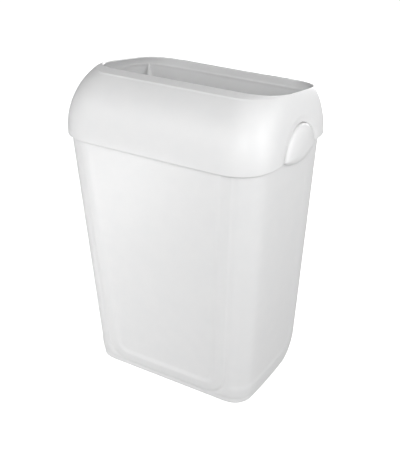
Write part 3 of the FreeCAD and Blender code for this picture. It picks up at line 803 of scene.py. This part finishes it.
def make_cap(side, sign):
    """A domed side cap, from its back over its edge to the crown."""
    outline = cap_outline(CAP_POINTS)
    centre = np.array([0, PIVOT_Z + CAP_CENTRE_RISE])
    crown_x = CAP_HIGH.x - CROWN_GAP
    rows = []

    def row(share, x):
        ring = centre + (outline - centre) * share
        rows.append(np.column_stack([np.full(len(ring), sign * x), PIVOT_Y + ring[:, 0], ring[:, 1]]))

    for share in BACK_SHARES:
        row(share, CAP_BACK_X)
    row(1.0, CAP_EDGE_X)
    for angle in np.linspace(0, math.pi / 2, DOME_ROWS)[1:-1]:
        bulge = math.sin(angle) ** CAP_ROUNDNESS
        row(math.cos(angle) ** CAP_ROUNDNESS, CAP_EDGE_X + (crown_x - CAP_EDGE_X) * bulge)
    count = len(outline)
    vertices = list(np.concatenate(rows))
    vertices.append(np.array([sign * CAP_BACK_X, PIVOT_Y, centre[1]]))
    vertices.append(np.array([sign * crown_x, PIVOT_Y, centre[1]]))
    faces = grid_faces(len(rows), count, False)
    back, crown = len(vertices) - 2, len(vertices) - 1
    last = (len(rows) - 1) * count
    for column in range(count):
        beside = (column + 1) % count
        faces.append((back, beside, column))
        faces.append((crown, last + column, last + beside))
    return mesh_object(f"{side}_cap_dome", vertices, faces)


# ------------------------ materials
RAMP_START, RAMP_END = 0.3, 0.7         # noise levels that give the darker and the lighter shade


def new_material(name, **sockets):
    """A material with these values on its shader's sockets, with _ for a space in a socket's name."""
    material = bpy.data.materials.new(name)
    material.use_nodes = True
    shader = material.node_tree.nodes["Principled BSDF"]
    for socket, number in sockets.items():
        shader.inputs[socket.replace("_", " ")].default_value = number
    return material, material.node_tree, shader


def add_node(tree, kind, **settings):
    """A new node; each setting goes to the socket of that name, or else to the node itself."""
    made = tree.nodes.new(kind)
    for setting, number in settings.items():
        if setting in made.inputs:
            made.inputs[setting].default_value = number
        else:
            setattr(made, setting, number)
    return made


def noise_colour(tree, shader, position, scale, dark, light):
    """Base colour wandering between two shades."""
    noise = add_node(tree, "ShaderNodeTexNoise", Scale=scale, Detail=4.0)
    tree.links.new(position, noise.inputs["Vector"])
    ramp = add_node(tree, "ShaderNodeValToRGB")
    ramp.color_ramp.elements[0].position = RAMP_START
    ramp.color_ramp.elements[0].color = (*dark, 1)
    ramp.color_ramp.elements[1].position = RAMP_END
    ramp.color_ramp.elements[1].color = (*light, 1)
    tree.links.new(noise.outputs["Fac"], ramp.inputs["Fac"])
    tree.links.new(ramp.outputs["Color"], shader.inputs["Base Color"])


def noise_roughness(tree, shader, position, scale, low, high):
    """Roughness wandering between two levels."""
    noise = add_node(tree, "ShaderNodeTexNoise", Scale=scale, Detail=6.0)
    tree.links.new(position, noise.inputs["Vector"])
    spread = add_node(tree, "ShaderNodeMapRange")
    spread.inputs["To Min"].default_value = low
    spread.inputs["To Max"].default_value = high
    tree.links.new(noise.outputs["Fac"], spread.inputs["Value"])
    tree.links.new(spread.outputs["Result"], shader.inputs["Roughness"])


def noise_bump(tree, shader, position, scales, distance, strength):
    """Fine moulded grain: the sum of two noises as a bump."""
    coarse = add_node(tree, "ShaderNodeTexNoise", Scale=scales[0], Detail=2.0)
    fine = add_node(tree, "ShaderNodeTexNoise", Scale=scales[1], Detail=3.0)
    total = add_node(tree, "ShaderNodeMath", operation="ADD")
    bump = add_node(tree, "ShaderNodeBump", Distance=distance, Strength=strength)
    for noise in (coarse, fine):
        tree.links.new(position, noise.inputs["Vector"])
    tree.links.new(coarse.outputs["Fac"], total.inputs[0])
    tree.links.new(fine.outputs["Fac"], total.inputs[1])
    tree.links.new(total.outputs["Value"], bump.inputs["Height"])
    tree.links.new(bump.outputs["Normal"], shader.inputs["Normal"])


def moulded_plastic(name, dark, light, roughness, subsurface=0.0):
    """Plastic with faint changes of shade and gloss and a fine moulded grain."""
    material, tree, shader = new_material(name, IOR=1.49, Subsurface_Weight=subsurface,
                                          Subsurface_Scale=0.004)
    shader.inputs["Subsurface Radius"].default_value = (1.0, 0.95, 0.9)
    position = add_node(tree, "ShaderNodeTexCoord").outputs["Object"]
    low, high = roughness
    noise_colour(tree, shader, position, scale=38.0, dark=dark, light=light)
    noise_roughness(tree, shader, position, scale=26.0, low=low, high=high)
    noise_bump(tree, shader, position, scales=(60.0, 900.0), distance=0.12 * MM, strength=0.25)
    return material


def brushed_metal(name, dark, light):
    """Steel with a grain that runs along x, as the pins do."""
    material, tree, shader = new_material(name, Metallic=1.0, Anisotropic=0.5)
    position = add_node(tree, "ShaderNodeTexCoord").outputs["Object"]
    stretch = add_node(tree, "ShaderNodeMapping")
    stretch.inputs["Scale"].default_value = (1.0, 12.0, 12.0)
    tree.links.new(position, stretch.inputs["Vector"])
    grain = stretch.outputs["Vector"]
    noise_colour(tree, shader, grain, scale=160.0, dark=dark, light=light)
    noise_roughness(tree, shader, grain, scale=240.0, low=0.22, high=0.42)
    noise_bump(tree, shader, grain, scales=(300.0, 1500.0), distance=0.03 * MM, strength=0.3)
    return material


def rubber(name):
    """Dull black rubber."""
    material, tree, shader = new_material(name, IOR=1.5)
    position = add_node(tree, "ShaderNodeTexCoord").outputs["Object"]
    noise_colour(tree, shader, position, scale=120.0, dark=(0.018, 0.018, 0.018),
                 light=(0.045, 0.045, 0.046))
    noise_roughness(tree, shader, position, scale=200.0, low=0.55, high=0.85)
    noise_bump(tree, shader, position, scales=(400.0, 2500.0), distance=0.1 * MM, strength=0.5)
    return material


WHITE = moulded_plastic("white_plastic", (0.792, 0.794, 0.797), (0.808, 0.808, 0.808), (0.36, 0.44))
CAP_WHITE = moulded_plastic("cap_plastic", (0.8, 0.802, 0.805), (0.816, 0.816, 0.816), (0.3, 0.36))
RING_GREY = moulded_plastic("ring_plastic", (0.56, 0.57, 0.58), (0.62, 0.63, 0.635), (0.4, 0.52),
                            subsurface=0.05)
NYLON = moulded_plastic("nylon", (0.74, 0.72, 0.66), (0.8, 0.78, 0.72), (0.35, 0.48), subsurface=0.2)
PIN_STEEL = brushed_metal("pin_steel", (0.5, 0.5, 0.51), (0.66, 0.66, 0.67))
CLIP_STEEL = brushed_metal("clip_steel", (0.34, 0.34, 0.36), (0.48, 0.48, 0.5))
FOOT_RUBBER = rubber("foot_rubber")


def dress(thing, material):
    """Give a thing this material alone."""
    thing.data.materials.clear()
    thing.data.materials.append(material)


# ------------------------ assembly
def finish_piece(piece, material, body, node):
    """Material, body and replaced CAD node of a rebuilt piece."""
    dress(piece, material)
    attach(piece, body)
    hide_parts(node)


finish_piece(make_body(), WHITE, "bin", "bin_body")
finish_piece(make_cover(), WHITE, "cover", "cover")
for side, sign in SIDES:
    finish_piece(make_cap(side, sign), CAP_WHITE, "bin", f"{side}_side_cap")
    dress(frame["nodes"][f"{side}_ring_pin"], PIN_STEEL)
    dress(frame["nodes"][f"{side}_ring_bush"], NYLON)
    dress(frame["nodes"][f"{side}_pin_clip"], CLIP_STEEL)
    for end in ("front", "rear"):
        dress(frame["nodes"][f"{end}_{side}_foot"], FOOT_RUBBER)
dress(frame["nodes"]["bag_ring"], RING_GREY)


# ------------------------ stage and light
FLOOR_FLAT = 6.0                # radius of the floor's level part
FLOOR_SWEEP = 3.0               # radius of the sweep up to its wall
FLOOR_WALL = 6.0                # height of that wall above the sweep
FLOOR_SEGMENTS = 64
LEVEL_RINGS = (0.0005, 0.5, 1.0)        # rings of the level part, as shares of its radius
SWEEP_ROWS = 13
FLOOR_GLOW = 0.85


def make_floor():
    """A wide pale floor that sweeps up to a wall all round. Only the camera sees it: what lights the
    bin from below and behind is the world."""
    profile = [(FLOOR_FLAT * share, 0.0) for share in LEVEL_RINGS]
    profile += [(FLOOR_FLAT + FLOOR_SWEEP * math.sin(angle), FLOOR_SWEEP * (1 - math.cos(angle)))
                for angle in np.linspace(0, math.pi / 2, SWEEP_ROWS)[1:]]
    profile.append((FLOOR_FLAT + FLOOR_SWEEP, FLOOR_SWEEP + FLOOR_WALL))
    turns = [2 * math.pi * step / FLOOR_SEGMENTS for step in range(FLOOR_SEGMENTS)]
    vertices = [(radius * math.cos(turn), radius * math.sin(turn), z)
                for radius, z in profile for turn in turns]
    floor = mesh_object("floor", vertices, grid_faces(len(profile), FLOOR_SEGMENTS, False))
    material, tree, shader = new_material("floor", Roughness=0.9)
    position = add_node(tree, "ShaderNodeTexCoord").outputs["Object"]
    noise_colour(tree, shader, position, scale=1.5, dark=(0.93, 0.93, 0.93), light=(0.95, 0.95, 0.95))
    shader.inputs["Emission Color"].default_value = (1, 1, 1, 1)
    shader.inputs["Emission Strength"].default_value = FLOOR_GLOW
    dress(floor, material)
    floor.visible_diffuse = False
    floor.visible_glossy = False
    floor.visible_shadow = False


def area_light(name, place, target, size, power):
    """A rectangular light turned towards a target, with its power in watts."""
    data = bpy.data.lights.new(name, "AREA")
    data.shape = "RECTANGLE"
    data.size, data.size_y = size
    data.energy = power
    light = link(name, data)
    light.location = place
    light.rotation_euler = (Vector(target) - Vector(place)).to_track_quat("-Z", "Y").to_euler()


make_floor()
SUBJECT = (0, 0, 0.33)          # point on the bin that most lights are turned to
SOFTBOX = (1.0, 0.8)            # width and height of most lights
area_light("front", (0.0, -1.99, 1.55), SUBJECT, SOFTBOX, 4.5)
area_light("front_right", (1.0, -1.73, 1.55), SUBJECT, SOFTBOX, 13.8)
area_light("front_left", (-1.0, -1.73, 1.55), SUBJECT, SOFTBOX, 6.8)
area_light("right", (2.3, 0.0, 0.52), SUBJECT, SOFTBOX, 6.5)
area_light("right_back", (1.6, 0.9, 1.5), (0, 0, 0.5), SOFTBOX, 4.8)
area_light("behind", (-0.2, 2.3, 1.0), (0, 0, 0.4), (1.4, 1.2), 26.0)
area_light("high_right", (1.9, -0.2, 1.35), SUBJECT, (0.8, 0.8), 10.5)
area_light("overhead", (0, 0.1, 2.4), SUBJECT, (1.2, 1.2), 3.2)
area_light("low_left", (-0.42, -0.62, 0.12), SUBJECT, (0.22, 0.22), 1.2)


def make_world(up, front, back, down):
    """Soft surroundings: their strength overhead, towards the camera, behind the bin and below."""
    world = bpy.data.worlds.new("world")
    world.use_nodes = True
    tree = world.node_tree
    direction = add_node(tree, "ShaderNodeTexCoord").outputs["Generated"]
    towards = add_node(tree, "ShaderNodeVectorMath", operation="DOT_PRODUCT")
    towards.inputs[1].default_value = (math.sin(CAMERA_YAW), -math.cos(CAMERA_YAW), 0)
    height = add_node(tree, "ShaderNodeSeparateXYZ")
    tree.links.new(direction, towards.inputs[0])
    tree.links.new(direction, height.inputs["Vector"])
    strength = None
    # what grades the light, the two values it does so between, and the strength it then has
    grades = ((towards.outputs["Value"], -0.6, 0.6, front),
              (height.outputs["Z"], 0.0, 0.6, up),
              (height.outputs["Z"], 0.0, -0.5, down))
    for source, start, end, reached in grades:
        share = add_node(tree, "ShaderNodeMapRange")
        share.inputs["From Min"].default_value = start
        share.inputs["From Max"].default_value = end
        blend = add_node(tree, "ShaderNodeMix", data_type="FLOAT")
        tree.links.new(source, share.inputs["Value"])
        tree.links.new(share.outputs["Result"], blend.inputs["Factor"])
        blend.inputs["B"].default_value = reached
        if strength is None:
            blend.inputs["A"].default_value = back
        else:
            tree.links.new(strength, blend.inputs["A"])
        strength = blend.outputs["Result"]
    tree.links.new(strength, tree.nodes["Background"].inputs["Strength"])
    tree.nodes["Background"].inputs["Color"].default_value = (1, 1, 1, 1)
    bpy.context.scene.world = world


make_world(up=0.15, front=0.9, back=0.25, down=0.35)
bpy.context.scene.view_settings.view_transform = "Standard"
